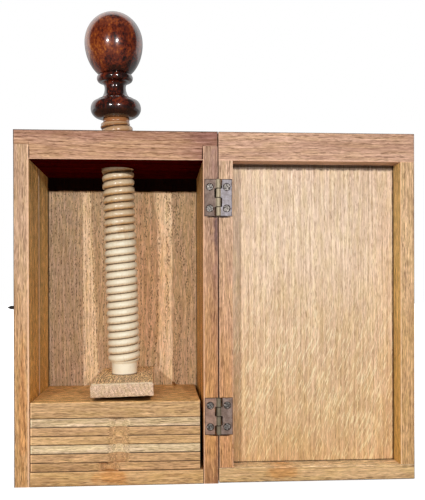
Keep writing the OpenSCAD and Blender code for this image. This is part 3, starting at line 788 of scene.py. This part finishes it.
# %% Set up the leaning axis
HOLE = Vector((-1.4, -2.5, 187.05))
LEAN_SIDE, LEAN_FRONT = math.radians(1.6), math.radians(2.5)
HOLE_S = 137.753
LEAN = (
    Matrix.Translation(HOLE * MM)
    @ Matrix.Rotation(-LEAN_SIDE, 4, "Y")
    @ Matrix.Rotation(LEAN_FRONT, 4, "X")
    @ Matrix.Translation((0, 0, -HOLE_S * MM))
)


def new_piece(name, points, faces, finish, place):
    """A smooth mesh from points in mm, put in place by a matrix."""
    mesh = bpy.data.meshes.new(name)
    mesh.from_pydata([Vector(p) * MM for p in points], [], faces)
    mesh.validate()
    mesh.polygons.foreach_set("use_smooth", [True] * len(mesh.polygons))
    mesh.materials.append(finish)
    made = bpy.data.objects.new(name, mesh)
    made.matrix_world = place
    scene.collection.objects.link(made)
    return made


print("screw axis:", [round(v, 4) for v in LEAN.col[2][:3]])

# %% [markdown]
# ## Boxwood
# Thread boxes cut their best threads in boxwood, which is dense, waxy and almost without pores.
# Where the screw runs through the top board it has gone brown and polished; lower down it stayed
# cream. Dirt sits in the bottom of the V groove, painted shade darkens the flank under each crest,
# which faces down, and the crests are rubbed pale. The plain end is painted paler, as painted
# light, and a band where it meets the foot block darker, as painted shade.

# %% Finish boxwood
CREST_R, ROOT_R = 9.6, 8.15
THREAD_S, SHANK_S, KNOB_S = 8.22, 157.633, 159.933
BROWN_S, PALE_END_S = (83, 105), (14.6, 13.8)
UNDER_TOP_S, SOCKET_LINE_S = (141, 147), (8.15, 7.85)


def boxwood_finish():
    material, start = new_finish("boxwood_screw")
    place = position_mm(start)
    z = parts(place)[2]
    fibre = cloud(place, (0.7, 0.7, 22), 3.0, 0.55)
    mottle = cloud(place, (5, 5, 14), 3.0, 0.6)
    speck = cloud(place, (1.1, 1.1, 1.6), 3.0, 0.65)
    used = ramp_up(z + (mottle - 0.5) * 34, *BROWN_S)
    cream = blend(fibre * 0.6 + speck * 0.4, (0.92, 0.76, 0.50), (1.0, 0.97, 0.82))
    brown = blend(fibre * 0.6 + speck * 0.4, (0.54, 0.35, 0.18), (0.97, 0.77, 0.52))
    colour = blend(used * 0.85, cream, brown)
    colour = blend(ramp_up(z, SHANK_S - 1.0, SHANK_S + 0.5), colour, (0.56, 0.29, 0.13))
    # Painted light: the plain end below the thread is made paler.
    colour = blend(ramp_up(z, *PALE_END_S), colour, (1.0, 0.93, 0.74))
    colour = blend(ramp_up(z, *UNDER_TOP_S) * 0.8, colour, (0.78, 0.56, 0.42), "MULTIPLY")
    # Painted shade: a dark band where the tenon meets the foot block.
    colour = blend(ramp_up(z, *SOCKET_LINE_S) * 0.9, colour, (0.16, 0.08, 0.035))
    dirt_and_shade = start.node("ShaderNodeAttribute", {"attribute_name": "groove"}, out="Fac")
    # Painted shade: the flank under each crest darkens, together with the dirt of the groove.
    flank = ramp_up(dirt_and_shade + (speck - 0.5) * 0.6, 0.15, 0.75) * (0.55 + 0.4 * used)
    colour = blend(flank, colour, (0.68, 0.46, 0.24), "MULTIPLY")
    colour = blend(ramp_up(speck, 0.58, 0.72) * 0.4, colour, (0.70, 0.54, 0.36), "MULTIPLY")
    dirt_and_shade = ramp_up(dirt_and_shade + (speck - 0.5) * 0.3, 0.7, 0.88) * (0.85 + 0.12 * used)
    colour = blend(dirt_and_shade, colour, (0.075, 0.034, 0.013))
    roughness = 0.42 - 0.2 * used + 0.1 * (mottle - 0.5) + 0.2 * dirt_and_shade
    surface(start, colour, roughness, fibre * 0.35 + mottle * 0.3 + speck * 0.3, 0.08, {
        "IOR": 1.5, "Coat Weight": 0.15 + 0.4 * used, "Coat Roughness": 0.25,
    })
    return material


BOXWOOD = boxwood_finish()
print("boxwood ready")

# %% [markdown]
# ## The thread
# The CAD thread is cut into few facets so that it stays light. This finer one follows the same
# helix: each row of points stands one step further round, and its columns trace the profile of
# one turn, a broad rounded crest between two narrow V grooves. A cone chamfers its lower end, and
# the upper end stops at the shoulder of the plain shank.

# %% Cut the thread
PITCH_MM, GROOVE_W, CREST_FALL = 4.48, 1.7, 0.38
THREAD_START = math.radians(61)
TENON_S, TENON_R, SHANK_R = 4.4, 7.6, 7.75
THREAD_LEAD, RUNOUT = 0.4, (0.01, 0.5)
CHAMFER_S, CHAMFER_SLOPE = 14.2, 0.75
GROOVE_LEFT = (0.0, 0.6)
SHOULDER = 0.45
FLANK_BULGE = 0.22
DIRT_AND_SHADE_ABOVE, DIRT_BELOW = 0.62, 0.6
STEPS, TOP_ROWS = 96, 12


def thread_radius(u):
    """Radius at a height u within one turn, measured from the bottom of the groove."""
    half = GROOVE_W / 2
    from_groove = min(u, PITCH_MM - u)
    shoulder = CREST_R - CREST_FALL
    if from_groove < half:
        share = from_groove / half
        return ROOT_R + (shoulder - ROOT_R) * (share + FLANK_BULGE * share * (1 - share))
    share = (from_groove - half) / (PITCH_MM / 2 - half)
    return shoulder + CREST_FALL * (1 - (1 - share) ** 2)


def thread_dirt_and_shade(u):
    """Dirt lies in the bottom of the groove; the mark runs on up the flank that faces down as painted shade.
    """
    half = GROOVE_W / 2
    return max(0, 1 - u / (DIRT_AND_SHADE_ABOVE * PITCH_MM), 1 - (PITCH_MM - u) / (DIRT_BELOW * half))


def thread_columns():
    """Heights of the columns, crowded where the groove turns into the crest."""
    half = GROOVE_W / 2
    rise = [half * k / 5 for k in range(5)]
    crest = [half + (PITCH_MM - GROOVE_W) * k / 10 for k in range(11)]
    fall = [PITCH_MM - half + half * k / 5 for k in range(1, 5)]
    return rise + crest + fall


def screw_mesh():
    columns = thread_columns()
    wide = len(columns)
    first = THREAD_S + THREAD_LEAD
    rows = int((SHANK_S - THREAD_LEAD - first - PITCH_MM) / PITCH_MM * STEPS)
    last = rows + STEPS
    points, marks, faces = [], [], []

    def put(i, r, z, mark=0.0):
        a = THREAD_START + 2 * math.pi * i / STEPS
        points.append((r * math.cos(a), r * math.sin(a), z))
        marks.append(mark)
        return len(points) - 1

    def spot(i, u):
        t = i + STEPS * u / PITCH_MM
        end = 0 if t < last / 2 else 1
        swell = max(0, min(1, (t if end == 0 else last - t) / (STEPS * RUNOUT[end])))
        swell = swell * swell * (3 - 2 * swell)
        end_r = (TENON_R, SHANK_R)[end] + 0.12
        blank = end_r + (CREST_R - end_r) * swell
        keep = GROOVE_LEFT[end] + (1 - GROOVE_LEFT[end]) * swell
        z = first + PITCH_MM * i / STEPS + u
        r = blank - (CREST_R - thread_radius(u)) * keep
        if end:
            return max(r, SHANK_R - 0.1), z, thread_dirt_and_shade(u) * keep
        cone = TENON_R + 0.05 + CHAMFER_SLOPE * max(0.0, z - CHAMFER_S)
        return min(r, cone), z, thread_dirt_and_shade(u) * max(0.0, min(1.0, (cone - r) / 0.6))

    grid = [[put(i, *spot(i, u)) for u in columns] for i in range(rows + 1)]

    # The last turn ends at the shoulder below the plain shank.
    top = []
    for i in range(rows, last + 1):
        height = SHANK_S - first - PITCH_MM * i / STEPS
        line = [grid[rows][0]] if i == rows else []
        for k in range(len(line), TOP_ROWS + 1):
            u = height * k / TOP_ROWS
            r, z, mark = spot(i, min(u, PITCH_MM / 2))
            near = max(0.0, 1 - (height - u) / SHOULDER)
            r = r + (SHANK_R - r) * near * near * (3 - 2 * near)
            line.append(put(i, r, first + PITCH_MM * i / STEPS + u, max(mark, 0.85 * near)))
        top.append(line)

    def at(i, k):
        if k == wide:
            return at(i + STEPS, 0)
        return grid[i][k] if i <= rows else top[i - rows][0]

    for i in range(rows):
        faces += [(at(i, k), at(i + 1, k), at(i + 1, k + 1), at(i, k + 1)) for k in range(wide)]
    for low, high in zip(top, top[1:]):
        faces += [(low[k], high[k], high[k + 1], low[k + 1]) for k in range(TOP_ROWS)]
    faces.append((*reversed(top[0]), *[at(rows, k) for k in range(1, wide)], *top[-1]))

    tenon = [
        (TENON_R - 0.5, TENON_S),
        (TENON_R, TENON_S + 0.5),
        (TENON_R, THREAD_S - 0.8),
        (TENON_R + 0.05, THREAD_S),
    ]
    low = [[put(i, r, z) for i in range(STEPS)] for r, z in tenon]
    shank = [(SHANK_R, SHANK_S + 0.4), (SHANK_R, KNOB_S)]
    rim = [line[-1] for line in top[:STEPS]]
    high = [rim] + [[put(i, r, z) for i in range(rows, rows + STEPS)] for r, z in shank]
    for bands in (low, high):
        for a, b in zip(bands, bands[1:]):
            faces += [(a[i], a[(i + 1) % STEPS], b[(i + 1) % STEPS], b[i]) for i in range(STEPS)]
    edge = low[-1]
    faces += [(edge[i], edge[(i + 1) % STEPS], at(i + 1, 0), at(i, 0)) for i in range(STEPS)]
    faces.append((edge[0], *[at(0, k) for k in range(wide + 1)]))
    faces.append(tuple(reversed(low[0])))
    faces.append(tuple(high[-1]))
    return points, faces, marks


screw_points, screw_faces, groove_marks = screw_mesh()
screw = new_piece("boxwood_press_screw", screw_points, screw_faces, BOXWOOD, LEAN)
groove = screw.data.attributes.new("groove", "FLOAT", "POINT")
groove.data.foreach_set("value", groove_marks)
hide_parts("press_screw")
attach(screw, "screw")
print("thread:", len(screw.data.vertices), "points")

# %% [markdown]
# ## The knob
# The knob was turned from one piece, stained a dark red brown and French polished. Its outline is
# the CAD outline with finer steps, because the polish shows every facet. The polish is a clear
# coat over mottled colour, and the pale walls of the room draw light rims on it.

# %% Turn the knob
KNOB_STEPS, ARC_STEPS = 160, 28


def arc(centre, rx, rz, a0, a1):
    turns = [math.radians(a0 + (a1 - a0) * i / ARC_STEPS) for i in range(ARC_STEPS + 1)]
    return [(centre[0] + rx * math.cos(a), centre[1] + rz * math.sin(a)) for a in turns]


def knob_outline():
    base_r, flange_r, shoulder_r, neck_r = 8.7, 14.85, 11.3, 6.25
    flange_z, shoulder_z = 5.7, 10.7
    quirk, hollow_low, hollow_high = 0.7, 6.7, 3.1
    quirk_r = shoulder_r - quirk
    neck_z = shoulder_z + quirk + hollow_low
    seat_r, bead_r, bead_half = 8.6, 10.6, 2.4
    bead_z = neck_z + hollow_high + bead_half
    egg_r, egg_low, egg_high, egg_seat_r = 17.1, 18.2, 18.0, 9.4
    egg_z = bead_z + bead_half + egg_low
    seat = math.degrees(math.acos(egg_seat_r / egg_r))
    return (
        [(0, 0)]
        + arc((base_r, flange_z), flange_r - base_r, flange_z, -90, 0)
        + arc((shoulder_r, flange_z), flange_r - shoulder_r, shoulder_z - flange_z, 3, 90)
        + [(quirk_r, shoulder_z)]
        + arc((quirk_r, neck_z), quirk_r - neck_r, hollow_low, 270, 180)
        + arc((seat_r, neck_z), seat_r - neck_r, hollow_high, 177, 90)
        + arc((seat_r, bead_z), bead_r - seat_r, bead_half, -86, 90)
        + arc((0, egg_z), egg_r, egg_low / math.sin(math.radians(seat)), -seat, 0)
        + arc((0, egg_z), egg_r, egg_high, 3, 89)
        + [(0, egg_z + egg_high)]
    )


def lathe_mesh(outline, steps):
    points = [(0, 0, outline[0][1]), (0, 0, outline[-1][1])]
    rings = []
    turns = [2 * math.pi * i / steps for i in range(steps)]
    for r, z in outline[1:-1]:
        rings.append(len(points))
        points += [(r * math.cos(a), r * math.sin(a), z) for a in turns]
    faces = [(0, rings[0] + (i + 1) % steps, rings[0] + i) for i in range(steps)]
    for a, b in zip(rings, rings[1:]):
        faces += [(a + i, a + (i + 1) % steps, b + (i + 1) % steps, b + i) for i in range(steps)]
    faces += [(1, rings[-1] + i, rings[-1] + (i + 1) % steps) for i in range(steps)]
    return points, faces


def knob_finish():
    material, start = new_finish("stained_knob")
    place = position_mm(start)
    x, _, z = parts(place)
    figure = cloud(place, (5, 5, 11), 4.0, 0.62)
    fleck = cloud(place, (0.9, 0.9, 4.5), 3.0, 0.6)
    cloudy = cloud(place, (13, 13, 17), 2.0)
    mottle = cloud(place, (2.0, 2.0, 2.6), 3.0, 0.65)
    spots = cloud(place, (1.2, 1.2, 1.7), 2.0, 0.6)
    tone = figure * 0.48 + fleck * 0.2 + mottle * 0.38 + spots * 0.46 + cloudy * 0.2 - 0.345
    # The tone falls towards the right, and towards the bottom of the egg as painted shade.
    tone = tone - 0.0055 * x - 0.13 * ramp_up(z, 37, 24)
    colour = tone.node(
        "ShaderNodeValToRGB",
        {
            "stops": [
                (0.34, (0.014, 0.003, 0.002)),
                (0.46, (0.11, 0.013, 0.004)),
                (0.57, (0.24, 0.042, 0.007)),
                (0.68, (0.42, 0.11, 0.014)),
                (0.80, (0.58, 0.22, 0.04)),
            ]
        },
        {"Fac": tone},
    )
    # The flange's underside, which faces down, is painted near black, as painted shade.
    foot = ramp_up(z, 8.0, 2.0)
    colour = blend(foot * 0.8, colour, (0.006, 0.003, 0.002))
    rubbed = ramp_up(cloud(place, (9, 9, 9), 3.0), 0.3, 0.7)
    surface(
        start,
        colour,
        0.2 + 0.12 * rubbed,
        fleck,
        0.02,
        {"IOR": 1.5, "Specular IOR Level": 0.3, "Coat Weight": 1.0, "Coat Roughness": 0.09, "Coat IOR": 1.6},
    )
    return material


KNOB_PLACE = LEAN @ Matrix.Translation((0, 0, KNOB_S * MM))
knob = new_piece("polished_knob", *lathe_mesh(knob_outline(), KNOB_STEPS), knob_finish(), KNOB_PLACE)
crisp = knob.modifiers.new("crisp_quirks", "EDGE_SPLIT")
crisp.split_angle = math.radians(38)
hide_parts("knob")
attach(knob, "screw")
print("knob:", len(knob.data.vertices), "points")

# %% [markdown]
# ## The foot block
# The foot block lies with its grain from front to back, so its front shows end grain full of pore
# holes. Its upper front arris is bruised and chipped. A bevel would be too even for that, so the
# block is built in rings, from the socket of the screw over the top, the sides and the underside
# to the recess of the washer, and points near an arris are pressed in by an uneven amount.

# %% Shape the foot block
FOOT_W, FOOT_FRONT, FOOT_BACK, FOOT_H, FOOT_TAPER = 34.9, -36.55, 23.75, 7.5, 2.8
SOCKET_R, SOCKET_S, BORE_R = 7.68, 4.3, 1.58
RECESS_R, RECESS_S = 5.5, 2.5
RIM_SHARES = (0.0, 0.02, 0.04, 0.065, 0.1, 0.15, 0.22, 0.32, 0.5, 0.75, 1.0)
SIDE_DROPS = (0.3, 0.6, 1.0, 1.5, 2.1, 2.9, 4.0, 5.4, 6.6, 7.1, 7.5)


def foot_border():
    """Points round the block's outline, with one on each corner."""
    corners = [
        (-FOOT_W / 2, FOOT_FRONT, 100), (FOOT_W / 2, FOOT_FRONT, 56),
        (FOOT_W / 2, FOOT_BACK, 30), (-FOOT_W / 2 + FOOT_TAPER, FOOT_BACK, 56),
    ]
    border = []
    for (x0, y0, count), (x1, y1, _) in zip(corners, corners[1:] + corners[:1]):
        border += [(x0 + (x1 - x0) * i / count, y0 + (y1 - y0) * i / count) for i in range(count)]
    return border


def bruised(x, y, z):
    """Moves a point of the block inwards where an arris is worn."""
    left = x + FOOT_W / 2 - FOOT_TAPER * (y - FOOT_FRONT) / (FOOT_BACK - FOOT_FRONT)
    gaps = {"left": left, "right": FOOT_W / 2 - x, "front": y - FOOT_FRONT, "back": FOOT_BACK - y}
    into = {"left": (1, 0), "right": (-1, 0), "front": (0, 1), "back": (0, -1)}
    dents = noise.noise(Vector((x * 0.33, y * 0.33, 7.0)))
    nicks = noise.noise(Vector((x * 1.1, y * 1.1, 3.0)))
    rough = dents + 0.5 * nicks
    dx = dy = dz = 0.0
    for side, gap in gaps.items():
        if side == "front":
            worn = 0.7 + 1.5 * max(0.0, rough + 0.25) + 0.9 * max(0.0, -x / FOOT_W)
        else:
            worn = 0.45 + 0.35 * max(0.0, rough)
        for drop, down in ((FOOT_H - z, -1), (z, 1)):
            amount = max(0.0, (worn if down < 0 else 0.5 * worn) - gap - drop) / 2
            dx, dy, dz = dx + into[side][0] * amount, dy + into[side][1] * amount, dz + down * amount
    return x + dx, y + dy, z + dz


def foot_mesh():
    border = foot_border()
    count = len(border)
    lengths = [math.hypot(x, y) for x, y in border]

    def circle(r, z):
        return [(r * x / far, r * y / far, z) for (x, y), far in zip(border, lengths)]

    def face(r, z):
        """Rings from the border inwards to a circle."""
        inner = circle(r, z)
        return [
            [
                bruised(x + (to_x - x) * s, y + (to_y - y) * s, z)
                for (x, y), (to_x, to_y, _) in zip(border, inner)
            ]
            for s in RIM_SHARES
        ]

    rings = [circle(BORE_R, SOCKET_S), circle(SOCKET_R, SOCKET_S), circle(SOCKET_R, FOOT_H - 0.15)]
    rings += list(reversed(face(SOCKET_R + 0.15, FOOT_H)))
    rings += [[bruised(x, y, FOOT_H - drop) for x, y in border] for drop in SIDE_DROPS]
    rings += face(RECESS_R, 0.0)[1:]
    rings += [circle(RECESS_R, RECESS_S), circle(BORE_R, RECESS_S)]
    points = [point for ring in rings for point in ring]
    faces = []
    for n in range(len(rings)):
        a, b = n * count, (n + 1) % len(rings) * count
        faces += [(a + i, a + (i + 1) % count, b + (i + 1) % count, b + i) for i in range(count)]
    return points, faces


FOOT_BOX = tuple(Vector(c) * MM for c in ((-FOOT_W / 2, FOOT_FRONT, 0), (FOOT_W / 2, FOOT_BACK, FOOT_H)))
foot_oak = oak(
    "oak_foot_block", FOOT_BOX, Y, FOOT_SEED, (0.93, 0.67, 0.475), (0.58, 0.38, 0.255),
    pore=(0.30, 0.155, 0.085), pore_mm=(5.0, 0.55), pore_share=0.5, rubbed=0.0, ring=0.45,
    bright=[("z-", "y-", 0.7), ("z+", "y-", 4.0, 0.6)],
    # The top face is tinted lighter, painted light for the grazing light on it.
    blots=[((0, 0, 7.5), (16, 18, 2.0), (1.2, 1.25, 1.3), 0.8)], inside=[("z+", (1.07, 1.06, 0.86), 1.0)],
)
foot = new_piece("worn_foot_block", *foot_mesh(), foot_oak, LEAN)
crisp = foot.modifiers.new("crisp_bores", "EDGE_SPLIT")
crisp.split_angle = math.radians(50)
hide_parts("foot_block")
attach(foot, "foot")
print("foot block:", len(foot.data.vertices), "points")

# %% [markdown]
# ## Metal
# The hinges are brass that has tarnished to a dull grey lilac, with olive left on the barrels.
# Painted shade darkens their countersinks and the joints between the knuckles. The screws are
# dull steel with dark slots, and the catch stud is black iron.

# %% Finish the metal
SCREW_INSET, SCREW_SPACING, KNUCKLE = 4.7, 11.9, 5.125
OLIVE_DARK, OLIVE_LIGHT = (0.31, 0.24, 0.15), (0.62, 0.53, 0.37)
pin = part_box("upper_hinge_pin")
AXIS = tuple((pin[0][k] + pin[1][k]) / 2 / MM for k in (0, 1))


def metal_finish(name, light, dark, cell, roughness, grit, metallic=1.0, box=None, barrel=1.0):
    """Metal with patches of tarnish.

    A leaf, given by its box, is grimy at its border and olive at its barrel. Painted shade darkens
    the joints between its knuckles and a ring in each countersink.
    """
    material, start = new_finish(name)
    place = position_mm(start)
    tarnish = cloud(place, (cell,) * 3, 4.0, 0.6)
    scratch = cloud(place, (0.3, 0.3, 5.0), 2.0)
    colour = blend(ramp_up(tarnish, 0.35, 0.68), dark, light)
    colour = blend(ramp_up(scratch, 0.6, 0.75) * 0.35, colour, scaled(light, 1.4))
    if box:
        depth = from_sides(place, box)
        border = least(least(depth("x-"), depth("x+")), least(depth("z-"), depth("z+")))
        colour = blend(ramp_up(border + (tarnish - 0.5) * 0.5, 0.45, 0.1) * 0.9, colour, GRIME_AND_SHADE)
        off = vector("MULTIPLY", vector("SUBTRACT", place, (*AXIS, 0)), (1, 1, 0))
        olive = blend(tarnish, scaled(OLIVE_DARK, barrel), scaled(OLIVE_LIGHT, barrel))
        x, _, z = parts(place)
        middle = (box[0][2] + box[1][2]) / 2 / MM
        # Painted shade: dark lines at the joints between the knuckles.
        joint = start.math("PINGPONG", (z - middle) / KNUCKLE, 0.5) * KNUCKLE
        olive = blend(ramp_up(joint, 0.4, 0.15) * 0.8, olive, GRIME_AND_SHADE)
        colour = blend(ramp_up(length_of(off), 1.5, 1.3), colour, olive)
        # Painted shade: a dark ring in each countersink.
        across = start.math("ABSOLUTE", start.math("ABSOLUTE", x - AXIS[0]) - SCREW_INSET)
        upward = start.math("ABSOLUTE", start.math("ABSOLUTE", z - middle) - SCREW_SPACING / 2)
        hole = start.math("SQRT", across * across + upward * upward)
        colour = blend(ramp_up(hole, 2.3, 2.0) * 0.8, colour, GRIME_AND_SHADE)
    surface(
        start,
        colour,
        roughness + 0.2 * (tarnish - 0.5) + 0.1 * scratch,
        tarnish + scratch * 0.4,
        grit,
        {"Metallic": metallic},
    )
    return material


LEAVES = {
    "upper_hinge_case_leaf": ((0.28, 0.20, 0.16), (0.15, 0.095, 0.075), 1.0),
    "lower_hinge_case_leaf": ((0.46, 0.285, 0.21), (0.27, 0.16, 0.115), 0.5),
    "upper_hinge_door_leaf": ((0.44, 0.405, 0.435), (0.25, 0.215, 0.22), 1.0),
    "lower_hinge_door_leaf": ((0.36, 0.26, 0.22), (0.20, 0.13, 0.10), 0.5),
}
METAL = {
    node: metal_finish(f"brass_{node}", light, dark, 3.0, 0.55, 0.03, 0.4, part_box(node), barrel)
    for node, (light, dark, barrel) in LEAVES.items()
}
PIN_BRASS = metal_finish("pin_brass", (0.46, 0.385, 0.255), (0.20, 0.15, 0.085), 2.0, 0.5, 0.03, 0.4)
STEEL = metal_finish("hinge_screw_steel", (0.36, 0.32, 0.29), (0.035, 0.028, 0.023), 0.8, 0.34, 0.22, 0.5)
IRON = metal_finish("black_iron", (0.06, 0.055, 0.05), (0.02, 0.018, 0.016), 1.5, 0.5, 0.03)
METAL |= {
    "upper_hinge_pin": PIN_BRASS, "lower_hinge_pin": PIN_BRASS,
    "case_hinge_screws": STEEL, "door_hinge_screws": STEEL, "foot_washer": STEEL,
    "foot_retaining_screw": STEEL, "catch_stud": IRON,
}
for node, finish in METAL.items():
    dress(node, finish)
print("metal pieces finished:", len(METAL))
